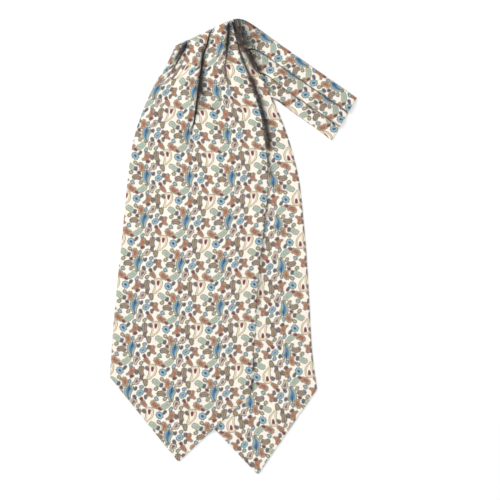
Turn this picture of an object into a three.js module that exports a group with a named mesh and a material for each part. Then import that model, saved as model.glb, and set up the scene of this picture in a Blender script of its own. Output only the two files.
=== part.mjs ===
// A silk day cravat (ascot) laid flat, face up, as it lies on a table.
//
// The front blade lies on top. Its pleated top edge is turned over backwards along a slanting fold, and the
// cloth goes on below as the hidden stretch of the neck band. That stretch runs down to the right, turns
// round at the band's end fold and comes back on top as the pleated stretch that shows. At the peak the band
// meets the rear blade, which lies below the front blade and shows along its right side.
//
// Millimetres, +Z up. The origin is under the middle of the whole outline, on the surface it lies on.
// Along a blade, "left" and "right" are its two long edges. On the band, "left" is its upper long edge.

import * as THREE from "three";

// ---- Driving sizes -----------------------------------------------------------------------------------

const WALL = 1.6; // a made-up blade: printed silk, interlining and the silk behind it
const SEAM_GAP = 0.3; // between pieces that touch
const PLEAT_EDGE = 0.8; // how wide the steep side of a pleat is
const BAND_PLEAT_STEP = 0.8; // how far a pleat of the band stands above the next one
const TIP_WIDTH = 3; // a blade's point is blunt by this much
const TOP_ROLL = 2.6; // how far the front blade's turned top edge reaches past its fold's axis
const END_ROLL = 1.9; // the same at the band's end fold
const TOP_LIP = 8; // how far the turned edge runs on below before the next piece starts
const END_LIP = 6;
const ROLL_STEPS = 6; // facets round half a turn of a fold
const DRAPE_REACH = 12.5; // a piece starts to rise this far before the edge of what lies below it
const RINGS = [0.25, 0.5, 0.75, 1]; // shares of that reach at which the cloth below is felt
const RING_POINTS = 16;

// Sections of the front blade, from its turned top edge to its shoulders. The pleats stand at shares of the
// section's width, and rise is how high each one stands above the cloth on its right.
const FRONT_SECTIONS = [
  { leftX: -60.8, leftY: 208.6, rightX: -2.0, rightY: 235.7, pleats: [0.25, 0.62, 0.93], rise: [0.9, 1.0, 1.0] },
  { leftX: -75.5, leftY: 180.0, rightX: 3.6, rightY: 212.0, pleats: [0.16, 0.55, 0.86], rise: [0.2, 1.2, 0.6] },
  { leftX: -84.5, leftY: 164.0, rightX: 9.5, rightY: 192.0, pleats: [0.16, 0.54, 0.82], rise: [0, 1.4, 0] },
  { leftX: -93.5, leftY: 143.0, rightX: 18.5, rightY: 170.5, pleats: [0.18, 0.505, 0.8], rise: [0, 1.2, 0] },
  { leftX: -102.0, leftY: 118.5, rightX: 26.5, rightY: 146.0, pleats: [0.2, 0.48, 0.79], rise: [0, 0.3, 0] },
  { leftX: -107.5, leftY: 92.0, rightX: 32.5, rightY: 117.0, pleats: [0.22, 0.46, 0.78], rise: [0, 0, 0] },
  { leftX: -112.0, leftY: 52.0, rightX: 37.0, rightY: 68.0, pleats: [0.24, 0.48, 0.76], rise: [0, 0, 0] },
  { leftX: -116.4, leftY: 6.0, rightX: 32.0, rightY: 14.0, pleats: [0.25, 0.5, 0.75], rise: [0, 0, 0] },
  { leftX: -121.0, leftY: -38.0, rightX: 26.4, rightY: -37.0, pleats: [0.25, 0.5, 0.75], rise: [0, 0, 0] },
  { leftX: -125.5, leftY: -88.0, rightX: 23.5, rightY: -90.0, pleats: [0.25, 0.5, 0.75], rise: [0, 0, 0] },
  { leftX: -129.6, leftY: -136.0, rightX: 18.5, rightY: -156.0, pleats: [0.25, 0.5, 0.75], rise: [0, 0, 0] },
];
const FRONT_TIP = { x: -57.6, y: -223.7 };
const FRONT_CELLS = [4, 4, 4, 3]; // cells across each panel between pleats

// Sections of the rear blade, from the peak to its shoulders. It has no pleats of its own that show.
const REAR_SECTIONS = [
  { leftX: -20.0, leftY: 208.0, rightX: 2.6, rightY: 232.0 },
  { leftX: -26.0, leftY: 188.0, rightX: 12.5, rightY: 211.5 },
  { leftX: -35.0, leftY: 165.0, rightX: 26.0, rightY: 183.5 },
  { leftX: -44.0, leftY: 141.0, rightX: 40.0, rightY: 155.0 },
  { leftX: -51.0, leftY: 118.0, rightX: 49.5, rightY: 135.5 },
  { leftX: -59.0, leftY: 88.0, rightX: 60.0, rightY: 106.0 },
  { leftX: -65.0, leftY: 52.0, rightX: 69.4, rightY: 68.0 },
  { leftX: -68.5, leftY: 15.0, rightX: 73.6, rightY: 30.5 },
  { leftX: -69.5, leftY: -20.0, rightX: 76.8, rightY: -5.0 },
  { leftX: -67.0, leftY: -65.0, rightX: 79.9, rightY: -55.0 },
  { leftX: -63.0, leftY: -110.0, rightX: 83.0, rightY: -110.0 },
  { leftX: -58.5, leftY: -152.0, rightX: 87.3, rightY: -151.0 },
];
const REAR_TIP = { x: 25.3, y: -236.8 };
const REAR_CELLS = [13];

// Sections of the band's upper stretch, from the peak to its end fold. Here left is the upper edge.
const BAND_PLEATS = { pleats: [0.37, 0.71], rise: [BAND_PLEAT_STEP, BAND_PLEAT_STEP] };
const BAND_SECTIONS = [
  { leftX: 3.2, leftY: 236.4, rightX: 41.0, rightY: 155.6, ...BAND_PLEATS },
  { leftX: 15.0, leftY: 234.5, rightX: 47.0, rightY: 151.1, ...BAND_PLEATS },
  { leftX: 53.0, leftY: 208.0, rightX: 62.0, rightY: 140.3, ...BAND_PLEATS },
  { leftX: 91.0, leftY: 181.5, rightX: 82.0, rightY: 126.0, ...BAND_PLEATS, pleats: [0.36, 0.7] },
  { leftX: 130.0, leftY: 154.4, rightX: 104.0, rightY: 110.0, ...BAND_PLEATS, pleats: [0.345, 0.69] },
];
const BAND_CELLS = [3, 3, 3];
const RETURN_CELLS = [5];
const RETURN_INSET = 0.02; // shares of its width by which the hidden stretch keeps inside the upper one
const RETURN_START = 0.36; // the hidden stretch leaves the front's fold between this share of it and its right end

// ---- Walls of cloth ----------------------------------------------------------------------------------

const RETURN_TOP = WALL;
const SECOND_LAYER = RETURN_TOP + SEAM_GAP;

const mix = THREE.MathUtils.lerp;
const mixAll = (a, b, t) => a.map((value, i) => mix(value, b[i], t));

// Rows across a piece: smooth curves through the sections' ends, with spans rows to each section.
function rowsThrough(sections, spans) {
  const edge = (side) =>
    new THREE.CatmullRomCurve3(
      sections.map((s) => new THREE.Vector3(s[side + "X"], s[side + "Y"], 0)),
      false,
      "centripetal",
    );
  const [left, right] = [edge("left"), edge("right")];
  const count = (sections.length - 1) * spans;
  return Array.from({ length: count + 1 }, (_, i) => {
    const at = Math.min(Math.floor(i / spans), sections.length - 2);
    const t = i / spans - at;
    const [a, b] = [sections[at], sections[at + 1]];
    return {
      left: left.getPoint(i / count),
      right: right.getPoint(i / count),
      pleats: mixAll(a.pleats ?? [], b.pleats ?? [], t),
      rise: mixAll(a.rise ?? [], b.rise ?? [], t),
    };
  });
}

// Rows from the shoulders of a blade to its blunt point.
function rowsToTip(shoulders, tip, count) {
  const middle = new THREE.Vector3(tip.x, tip.y, 0);
  const half = new THREE.Vector3()
    .subVectors(shoulders.right, shoulders.left)
    .setLength(TIP_WIDTH / 2);
  const ends = { left: middle.clone().sub(half), right: middle.clone().add(half) };
  return Array.from({ length: count }, (_, i) => ({
    left: shoulders.left.clone().lerp(ends.left, (i + 1) / count),
    right: shoulders.right.clone().lerp(ends.right, (i + 1) / count),
    pleats: shoulders.pleats,
    rise: shoulders.rise,
  }));
}

// Places across a row, as shares of its width, each with the height that its pleat gives it there. Every
// panel climbs from below its left neighbour to its own folded right edge, as knife pleats do.
function placesAcross(row, cells) {
  const width = row.left.distanceTo(row.right);
  const bounds = [0, ...row.pleats, 1];
  const places = [];
  cells.forEach((count, panel) => {
    const from = bounds[panel] + (panel > 0 ? PLEAT_EDGE / width : 0);
    const to = bounds[panel + 1];
    const rise = row.rise[panel] ?? 0;
    for (let k = 0; k <= count; k += 1) {
      places.push({ share: mix(from, to, k / count), rise: (rise * k) / count });
    }
  });
  return places;
}

// The closed wall between a grid of points on the face and the same grid below, its rims included. Seen from
// the face, columns run to the left of the rows' way, or to its right where mirrored.
function wallMesh(grid, mirrored = false) {
  const [face, below] = [grid.map((r) => r.face), grid.map((r) => r.below)];
  const [rows, columns] = [face.length, face[0].length];
  const points = [...face.flat(), ...below.flat()];
  const up = (i, j) => i * columns + j;
  const down = (i, j) => rows * columns + up(i, j);
  const triangles = [];
  const quad = (a, b, c, d) =>
    mirrored ? triangles.push(a, c, b, a, d, c) : triangles.push(a, b, c, a, c, d);
  for (let i = 0; i + 1 < rows; i += 1) {
    for (let j = 0; j + 1 < columns; j += 1) {
      quad(up(i, j), up(i + 1, j), up(i + 1, j + 1), up(i, j + 1));
      quad(down(i, j), down(i, j + 1), down(i + 1, j + 1), down(i + 1, j));
    }
    quad(up(i, 0), down(i, 0), down(i + 1, 0), up(i + 1, 0));
    quad(up(i, columns - 1), up(i + 1, columns - 1), down(i + 1, columns - 1), down(i, columns - 1));
  }
  for (let j = 0; j + 1 < columns; j += 1) {
    quad(up(0, j), up(0, j + 1), down(0, j + 1), down(0, j));
    quad(up(rows - 1, j), down(rows - 1, j), down(rows - 1, j + 1), up(rows - 1, j + 1));
  }
  const geometry = new THREE.BufferGeometry();
  geometry.setAttribute("position", new THREE.Float32BufferAttribute(points.flatMap((p) => p.toArray()), 3));
  geometry.setIndex(triangles);
  return geometry;
}

// A row's points at the given height below and with the wall and the pleats' rise above.
function raise(row, cells, heightAt) {
  const places = placesAcross(row, cells);
  const at = (share) => row.left.clone().lerp(row.right, share);
  const below = places.map(({ share }) => at(share)).map((p) => p.setZ(heightAt(p.x, p.y)));
  const face = below.map((p, j) => p.clone().setZ(p.z + WALL + places[j].rise));
  return { face, below };
}

// Half a turn of cloth over a fold, and a lip that runs on below it. It starts from the row's own points,
// goes round past them by reach in the given direction and ends on the surface.
function turnedUnder(start, outward, reach, lip) {
  const rows = [];
  const shifted = (p, far, z) => p.clone().addScaledVector(outward, far).setZ(z);
  for (let k = 1; k <= ROLL_STEPS; k += 1) {
    const angle = (Math.PI * k) / ROLL_STEPS;
    const [sine, cosine] = [Math.sin(angle), Math.cos(angle)];
    const around = (p, far, high, low) => {
      const middle = (high + low) / 2;
      return shifted(p, far * sine, middle + ((high - low) / 2) * cosine);
    };
    rows.push({
      face: start.face.map((p) => around(p, reach, p.z, 0)),
      below: start.below.map((p) => around(p, Math.max(reach - WALL, 0), p.z, WALL)),
    });
  }
  rows.push({
    face: start.face.map((p) => shifted(p, -lip, 0)),
    below: start.below.map((p) => shifted(p, -lip, WALL)),
  });
  return rows;
}

// The outward direction across a row's line, on the side away from the piece.
function across(row, inside) {
  const line = new THREE.Vector3().subVectors(row.right, row.left).normalize();
  const normal = new THREE.Vector3(-line.y, line.x, 0);
  const towards = new THREE.Vector3().subVectors(inside.left, row.left);
  return normal.dot(towards) > 0 ? normal.negate() : normal;
}

const movedRow = (row, direction, far) => ({
  ...row,
  left: row.left.clone().addScaledVector(direction, far),
  right: row.right.clone().addScaledVector(direction, far),
});

// ---- What lies below what ----------------------------------------------------------------------------

function insideOutline(outline, x, y) {
  let inside = false;
  outline.forEach((a, i) => {
    const b = outline[(i + 1) % outline.length];
    const crosses = a.y > y !== b.y > y && x < ((b.x - a.x) * (y - a.y)) / (b.y - a.y) + a.x;
    inside = crosses ? !inside : inside;
  });
  return inside;
}

const outlineOf = (rows) => [...rows.map((r) => r.left), ...rows.map((r) => r.right).reverse()];

// The highest cloth within reach of a place, or the bare surface.
function restingOn(layers) {
  const highest = (x, y) =>
    Math.max(0, ...layers.filter((l) => insideOutline(l.outline, x, y)).map((l) => l.top(x, y) + SEAM_GAP));
  return (x, y) => {
    let height = highest(x, y);
    for (const ring of RINGS) {
      for (let k = 0; k < RING_POINTS; k += 1) {
        const turn = (2 * Math.PI * k) / RING_POINTS;
        const far = ring * DRAPE_REACH;
        height = Math.max(height, highest(x + far * Math.cos(turn), y + far * Math.sin(turn)));
      }
    }
    return height;
  };
}

// ---- The pieces --------------------------------------------------------------------------------------

const TIP_ROWS = 8;
const frontRows = rowsThrough(FRONT_SECTIONS, 4);
const rearRows = rowsThrough(REAR_SECTIONS, 3);
const bandRows = rowsThrough(BAND_SECTIONS, 4);

const topOutward = across(frontRows[0], frontRows[1]);
const endOutward = across(bandRows.at(-1), bandRows.at(-2));

// The hidden stretch of the band, from the lip of the front's fold to the lip of the end fold.
const foldLine = movedRow(frontRows[0], topOutward, -(TOP_ROLL + TOP_LIP + SEAM_GAP));
const endLine = movedRow(bandRows.at(-1), endOutward, -(END_ROLL + END_LIP + SEAM_GAP));
const between = (row, a, b) => ({
  left: row.left.clone().lerp(row.right, a),
  right: row.left.clone().lerp(row.right, b),
});
const returnStart = between(foldLine, 1, RETURN_START);
const returnEnd = between(endLine, RETURN_INSET, 1 - RETURN_INSET);
const RETURN_ROWS = 14;
const returnRows = Array.from({ length: RETURN_ROWS + 1 }, (_, i) => ({
  left: returnStart.left.clone().lerp(returnEnd.left, i / RETURN_ROWS),
  right: returnStart.right.clone().lerp(returnEnd.right, i / RETURN_ROWS),
  pleats: [],
  rise: [],
}));
const returnOutline = outlineOf(returnRows);
const returnLayer = { outline: returnOutline, top: () => RETURN_TOP };

function bandReturn() {
  const grid = returnRows.map((row) => raise(row, RETURN_CELLS, () => 0));
  return wallMesh(grid, true);
}

function bandUpper() {
  const rows = [...bandRows.slice(0, -1), movedRow(bandRows.at(-1), endOutward, -END_ROLL)];
  const grid = rows.map((row) => raise(row, BAND_CELLS, () => SECOND_LAYER));
  grid.push(...turnedUnder(grid.at(-1), endOutward, END_ROLL, END_LIP));
  return wallMesh(grid, true);
}

const rearOutlineRows = [...rearRows, ...rowsToTip(rearRows.at(-1), REAR_TIP, TIP_ROWS)];
const rearHeight = restingOn([returnLayer]);

function rearBlade() {
  const grid = rearOutlineRows.map((row) => raise(row, REAR_CELLS, rearHeight));
  return wallMesh(grid);
}

const rearLayer = {
  outline: outlineOf(rearOutlineRows),
  top: (x, y) => rearHeight(x, y) + WALL,
};
const bandLayer = {
  outline: outlineOf(bandRows),
  top: () => SECOND_LAYER + WALL + BAND_PLEAT_STEP,
};

function frontBlade() {
  const heightAt = restingOn([returnLayer, rearLayer, bandLayer]);
  const body = [movedRow(frontRows[0], topOutward, -TOP_ROLL), ...frontRows.slice(1)];
  const rows = [...body, ...rowsToTip(frontRows.at(-1), FRONT_TIP, TIP_ROWS)];
  const grid = rows.map((row) => raise(row, FRONT_CELLS, heightAt));
  const foldHeight = Math.max(...grid[0].below.map((p) => p.z));
  grid[0].face.forEach((p, j) => p.setZ(p.z + foldHeight - grid[0].below[j].z));
  grid[0].below.forEach((p) => p.setZ(foldHeight));
  grid.unshift(...turnedUnder(grid[0], topOutward, TOP_ROLL, TOP_LIP).reverse());
  return wallMesh(grid);
}

// ---- The cravat --------------------------------------------------------------------------------------

const silk = (color) => new THREE.MeshStandardMaterial({ color, roughness: 0.5, metalness: 0 });

function piece(name, geometry, color) {
  const mesh = new THREE.Mesh(geometry, silk(color));
  mesh.name = name;
  return mesh;
}

const cravat = new THREE.Group();
cravat.add(
  piece("front_blade", frontBlade(), 0xe9dfd2),
  piece("rear_blade", rearBlade(), 0xe4d9cb),
  piece("neck_band_upper", bandUpper(), 0xe7dccf),
  piece("neck_band_under", bandReturn(), 0xddd1c2),
);

export default cravat;
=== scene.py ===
"""A silk day cravat laid flat, face up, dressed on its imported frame.

The front blade lies on top, pleated, its top edge turned over backwards. The rear blade lies below it and
shows along its right side. The neck band leaves the peak to the right in three knife pleats, turns round at
its end fold and comes back below itself. Lengths are in millimetres until a mesh is made. Every piece
carries the place of each point in the flat cloth as its own UV map, so the print follows the folds.
"""

from __future__ import annotations

import logging
import math
from dataclasses import dataclass, field
from enum import Enum

import bpy
import numpy as np
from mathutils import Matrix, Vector

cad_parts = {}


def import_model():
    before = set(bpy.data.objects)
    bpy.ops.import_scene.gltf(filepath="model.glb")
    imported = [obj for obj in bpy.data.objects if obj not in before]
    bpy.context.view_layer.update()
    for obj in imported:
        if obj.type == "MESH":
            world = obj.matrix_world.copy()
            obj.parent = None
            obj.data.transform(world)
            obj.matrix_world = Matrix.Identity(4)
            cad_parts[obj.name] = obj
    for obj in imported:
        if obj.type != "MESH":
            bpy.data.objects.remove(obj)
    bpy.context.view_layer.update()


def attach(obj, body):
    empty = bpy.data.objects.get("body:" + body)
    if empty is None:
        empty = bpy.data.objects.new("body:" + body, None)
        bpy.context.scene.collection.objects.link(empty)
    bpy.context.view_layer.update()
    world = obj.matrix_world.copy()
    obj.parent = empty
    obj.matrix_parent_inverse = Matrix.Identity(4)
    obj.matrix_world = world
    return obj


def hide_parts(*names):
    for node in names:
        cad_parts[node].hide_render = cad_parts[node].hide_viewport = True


LOG = logging.getLogger("cravat")

MM = 0.001
CLOTH = 0.9  # a made-up blade, seen as one sheet: two layers of silk twill and its interlining
LIFT = 0.25  # what lies on the surface keeps this clear of it
AIR = 0.12  # between two layers that lie on each other
EDGE_ROLL = 0.45  # a long edge rolls down by this
ROW_STEP = 1.8  # spacing of the cloth's rows along a piece
REPEAT = 45.0  # the print's square repeat
CLOTH_MAP = "cloth"
# the point attribute that holds how much shade is painted into the silk's colour at each point
PAINTED_SHADE_ATTRIBUTE = "crease"

Point = tuple[float, float]


# ---- Dyes and the charted print ------------------------------------------------------------------------


class Dye(Enum):
    """The print's colours, as sRGB."""

    GROUND = "F0E8DC"
    CREAM = "ECE0C4"
    STRAW = "D0C094"
    KHAKI = "988860"
    TAN = "AC9474"
    RUST = "AC745C"
    RED = "985848"
    CRIMSON = "804048"
    PLUM = "786470"
    BROWN = "887060"
    OLIVE = "888464"
    MOSS = "686854"
    SLATE = "646870"
    INK = "484850"
    BLUE = "5C88A8"
    SKY = "A4BCC4"
    TEAL = "80A4A4"
    MINT = "A8B8A4"
    NAVY = "404C68"

    @property
    def linear(self) -> tuple[float, float, float, float]:
        """The colour as the shader wants it."""
        parts = [int(self.value[i : i + 2], 16) / 255 for i in (0, 2, 4)]
        return (*[p / 12.92 if p <= 0.04045 else ((p + 0.055) / 1.055) ** 2.4 for p in parts], 1.0)


Rings = tuple[tuple[float, Dye], ...]


@dataclass(frozen=True)
class Beads:
    """A row of small marks down the middle of a motif."""

    count: float
    dye: Dye
    reach: float = 1.0


@dataclass(frozen=True)
class Motif:
    """One charted figure: a drop from a round head to a tail, in rings of dye from its edge inwards.

    Places are from the middle of the large cream drop, to the right and up, on a block of four
    staggered rows.
    """

    name: str
    head: Point
    tail: Point
    head_r: float
    tail_r: float
    rings: Rings
    bow: float = 0.0
    beads: Beads | None = None
    lobes: tuple[float, float] = (8.0, 0.4)


SPREAD = 0.5  # ink spreads this far beyond the drawn edge

RUSTY: Rings = ((0.0, Dye.INK), (0.7, Dye.TAN), (1.3, Dye.RUST), (2.2, Dye.RED))
RED_KIDNEY: Rings = ((0.0, Dye.INK), (0.7, Dye.STRAW), (1.2, Dye.RUST), (2.0, Dye.RED), (2.8, Dye.PLUM))
LEAF_BROWN: Rings = ((0.0, Dye.INK), (0.8, Dye.OLIVE), (1.5, Dye.TAN), (2.2, Dye.BROWN))
SAGE: Rings = ((0.0, Dye.MOSS), (0.7, Dye.STRAW), (1.3, Dye.MINT), (2.1, Dye.TEAL))
FLOWER: Rings = ((0.0, Dye.SLATE), (0.7, Dye.TEAL), (1.4, Dye.SKY), (2.2, Dye.BLUE), (2.8, Dye.NAVY))
PLUM_DROP: Rings = ((0.0, Dye.INK), (0.6, Dye.TAN), (1.2, Dye.CREAM), (1.8, Dye.PLUM))
SMALL_DARK: Rings = ((0.0, Dye.INK), (0.9, Dye.SLATE))
SMALL_BROWN: Rings = ((0.0, Dye.INK), (0.8, Dye.BROWN), (1.5, Dye.PLUM))
SMALL_CRIMSON: Rings = ((0.0, Dye.MOSS), (0.8, Dye.CRIMSON))
SMALL_OLIVE: Rings = ((0.0, Dye.SLATE), (0.8, Dye.OLIVE), (1.5, Dye.STRAW))
SMALL_SKY: Rings = ((0.0, Dye.INK), (0.8, Dye.TEAL), (1.5, Dye.SKY))

SMOOTH = (0.0, 0.0)

PRINT: tuple[Motif, ...] = (
    # first row: cream drop, flower, comma, brown leaf
    Motif("cream drop", (0.0, 3.0), (-2.5, -6.0), 5.0, 2.0,
          ((0.0, Dye.KHAKI), (0.8, Dye.CREAM), (1.7, Dye.TAN), (2.3, Dye.GROUND)), -1.5, None, SMOOTH),
    Motif("cream drop eye", (0.5, 4.0), (0.5, 1.5), 1.3, 0.7, ((0.0, Dye.CRIMSON),), 0.0, None, SMOOTH),
    Motif("first flower", (11.0, 0.5), (12.0, -0.5), 3.2, 3.2, FLOWER),
    Motif("first comma", (24.0, 1.5), (19.5, -3.5), 3.2, 1.0, RUSTY, -1.5, Beads(3.0, Dye.TAN, 0.6)),
    Motif("first leaf", (34.0, 3.0), (35.0, -3.5), 2.8, 2.0, LEAF_BROWN, 1.0, Beads(3.0, Dye.PLUM, 0.6)),
    # second row: kidney, scroll, plum drop, flower bud
    Motif("first kidney", (4.0, 12.5), (8.0, 9.5), 2.9, 2.8, RED_KIDNEY, 0.8, Beads(2.0, Dye.TAN, 0.5)),
    Motif("first scroll", (15.0, 9.0), (19.5, 12.5), 2.5, 2.5, SAGE, 0.4, Beads(3.0, Dye.SKY, 0.5)),
    Motif("first plum drop", (28.5, 13.0), (27.5, 8.0), 3.2, 1.2, PLUM_DROP, 0.8),
    Motif("first bud", (38.0, 12.5), (41.0, 9.5), 2.4, 1.4, RUSTY),
    # third row: comma, brown leaf, blue drop, small flower
    Motif("second comma", (-1.0, 24.5), (2.0, 19.5), 3.0, 1.0, RUSTY, 1.5, Beads(3.0, Dye.TAN, 0.6)),
    Motif("second leaf", (9.5, 22.5), (14.0, 22.0), 2.6, 2.2, LEAF_BROWN, -0.8, Beads(3.0, Dye.PLUM, 0.6)),
    Motif("blue drop rim", (22.5, 26.0), (22.5, 16.5), 4.8, 2.0, ((0.0, Dye.INK), (0.8, Dye.OLIVE)), 1.2, None,
          (12.0, 0.5)),
    Motif("blue drop", (22.5, 26.0), (22.5, 17.0), 3.9, 1.2,
          ((0.0, Dye.STRAW), (0.6, Dye.TEAL), (1.2, Dye.BLUE), (3.2, Dye.NAVY)), 1.2, Beads(4.0, Dye.NAVY, 0.8)),
    Motif("second flower", (33.5, 22.0), (35.0, 23.0), 2.7, 2.7, FLOWER),
    # fourth row: scroll, kidney, plum drop, leaf bud
    Motif("second scroll", (3.5, 35.5), (7.5, 32.5), 2.4, 2.4, SAGE, -0.4, Beads(3.0, Dye.SKY, 0.5)),
    Motif("second kidney", (16.5, 35.5), (17.5, 31.5), 2.8, 2.7, RED_KIDNEY, -0.8, Beads(2.0, Dye.TAN, 0.5)),
    Motif("second plum drop", (30.0, 35.0), (26.5, 32.0), 3.0, 1.2, PLUM_DROP, -0.8),
    Motif("second bud", (39.0, 34.5), (39.5, 31.5), 2.4, 1.5, LEAF_BROWN),
    # buds and dots between the rows
    Motif("dark bud", (17.0, 4.0), (16.0, 2.5), 1.4, 1.1, SMALL_DARK),
    Motif("brown bud", (29.0, -1.5), (29.0, 0.5), 1.7, 1.3, SMALL_BROWN),
    Motif("crimson bud", (11.0, 7.0), (12.5, 6.0), 1.5, 0.9, SMALL_CRIMSON),
    Motif("sky bud", (22.5, 6.5), (23.5, 8.0), 1.6, 1.2, SMALL_SKY),
    Motif("olive bud", (33.0, 8.5), (34.0, 9.5), 1.6, 1.3, SMALL_OLIVE),
    Motif("brown berry", (39.5, 4.0), (40.5, 3.0), 1.7, 1.4, SMALL_BROWN),
    Motif("sky berry", (6.5, 17.5), (7.5, 16.5), 1.7, 1.3, SMALL_SKY),
    Motif("olive berry", (15.5, 17.0), (16.5, 18.0), 1.6, 1.3, SMALL_OLIVE),
    Motif("dark berry", (28.5, 18.5), (29.5, 17.5), 1.5, 1.2, SMALL_DARK),
    Motif("crimson berry", (36.0, 16.5), (37.0, 15.5), 1.7, 1.0, SMALL_CRIMSON),
    Motif("brown seed", (40.5, 19.0), (40.5, 17.5), 1.5, 1.2, SMALL_BROWN),
    Motif("olive seed", (5.5, 27.5), (6.5, 28.0), 1.7, 1.4, SMALL_OLIVE),
    Motif("crimson seed", (14.0, 27.5), (15.0, 26.5), 1.6, 1.0, SMALL_CRIMSON),
    Motif("dark seed", (29.0, 26.5), (29.5, 27.5), 1.4, 1.2, SMALL_DARK),
    Motif("sky seed", (35.0, 28.5), (36.0, 29.0), 1.6, 1.3, SMALL_SKY),
    Motif("brown dot", (40.0, 26.0), (39.5, 25.0), 1.8, 1.3, SMALL_BROWN),
    Motif("dark dot", (11.0, 31.0), (11.5, 32.5), 1.5, 1.2, SMALL_DARK),
    Motif("olive dot", (11.0, 38.0), (12.0, 37.0), 1.7, 1.3, SMALL_OLIVE),
    Motif("sky dot", (22.5, 33.5), (22.5, 35.0), 1.5, 1.2, SMALL_SKY),
    Motif("crimson dot", (24.0, 39.5), (25.5, 40.0), 1.7, 1.1, SMALL_CRIMSON),
    Motif("brown leaf dot", (34.5, 38.5), (35.0, 37.0), 1.6, 1.2, SMALL_BROWN),
)


# ---- Node networks -------------------------------------------------------------------------------------


@dataclass
class Net:
    """A node tree with short calls for the nodes that the finishes use."""

    tree: bpy.types.NodeTree

    def add(self, kind: str, **settings: object) -> bpy.types.Node:
        """Add a node of a kind and set its own properties."""
        node = self.tree.nodes.new(kind)
        for name, value in settings.items():
            setattr(node, name, value)
        return node

    def feed(self, socket: bpy.types.NodeSocket, value: object) -> None:
        """Link a socket to an output, or set it to a number, vector or colour."""
        if isinstance(value, bpy.types.NodeSocket):
            self.tree.links.new(value, socket)
        else:
            socket.default_value = value

    def math(self, operation: str, *values: object, clamp: bool = False) -> bpy.types.NodeSocket:
        """A Math node's output.

        Args:
            operation: Blender's name for the sum.
            values: its one to three inputs.
            clamp: keep the result from 0 to 1.

        Returns:
            The output socket.
        """
        node = self.add("ShaderNodeMath", operation=operation, use_clamp=clamp)
        for socket, value in zip(node.inputs, values):
            self.feed(socket, value)
        return node.outputs[0]

    def vector(self, operation: str, *values: object) -> bpy.types.NodeSocket:
        """A Vector Math node's output, its number where the operation gives one."""
        node = self.add("ShaderNodeVectorMath", operation=operation)
        for socket, value in zip(node.inputs, values):
            self.feed(socket, value)
        return node.outputs["Value" if operation in ("DOT_PRODUCT", "LENGTH") else "Vector"]

    def ramp(self, factor: bpy.types.NodeSocket, stops: list[tuple[float, tuple]], sharp: bool) -> bpy.types.Node:
        """A Color Ramp over a factor, in steps where sharp."""
        node = self.add("ShaderNodeValToRGB")
        node.color_ramp.interpolation = "CONSTANT" if sharp else "LINEAR"
        elements = node.color_ramp.elements
        while len(elements) < len(stops):
            elements.new(1.0)
        for element, (place, _) in zip(elements, stops):
            element.position = place
        for element, (_, colour) in zip(elements, stops):
            element.color = colour
        self.feed(node.inputs[0], factor)
        return node

    def mix(self, factor: object, under: object, over: object, blend: str = "MIX") -> bpy.types.NodeSocket:
        """A colour mix's output."""
        node = self.add("ShaderNodeMix", data_type="RGBA", blend_type=blend)
        self.feed(node.inputs[0], factor)
        self.feed(node.inputs[6], under)
        self.feed(node.inputs[7], over)
        return node.outputs[2]


def new_group(name: str, inputs: dict[str, str], outputs: dict[str, str]) -> tuple[Net, dict, dict]:
    """Start a shader node group.

    Args:
        name: the group's name.
        inputs: socket kinds by name, such as Float, Vector or Color.
        outputs: the same for what it puts out.

    Returns:
        Its network, its input sockets and its output sockets, each by name.
    """
    tree = bpy.data.node_groups.new(name, "ShaderNodeTree")
    for in_out, sockets in (("INPUT", inputs), ("OUTPUT", outputs)):
        for socket, kind in sockets.items():
            tree.interface.new_socket(name=socket, in_out=in_out, socket_type=f"NodeSocket{kind}")
    net = Net(tree)
    taken = net.add("NodeGroupInput").outputs
    given = net.add("NodeGroupOutput").inputs
    return net, {n: taken[n] for n in inputs}, {n: given[n] for n in outputs}


RAMP_SPAN = 8.0  # the depth into a motif, in millimetres, that a ramp covers


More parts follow.
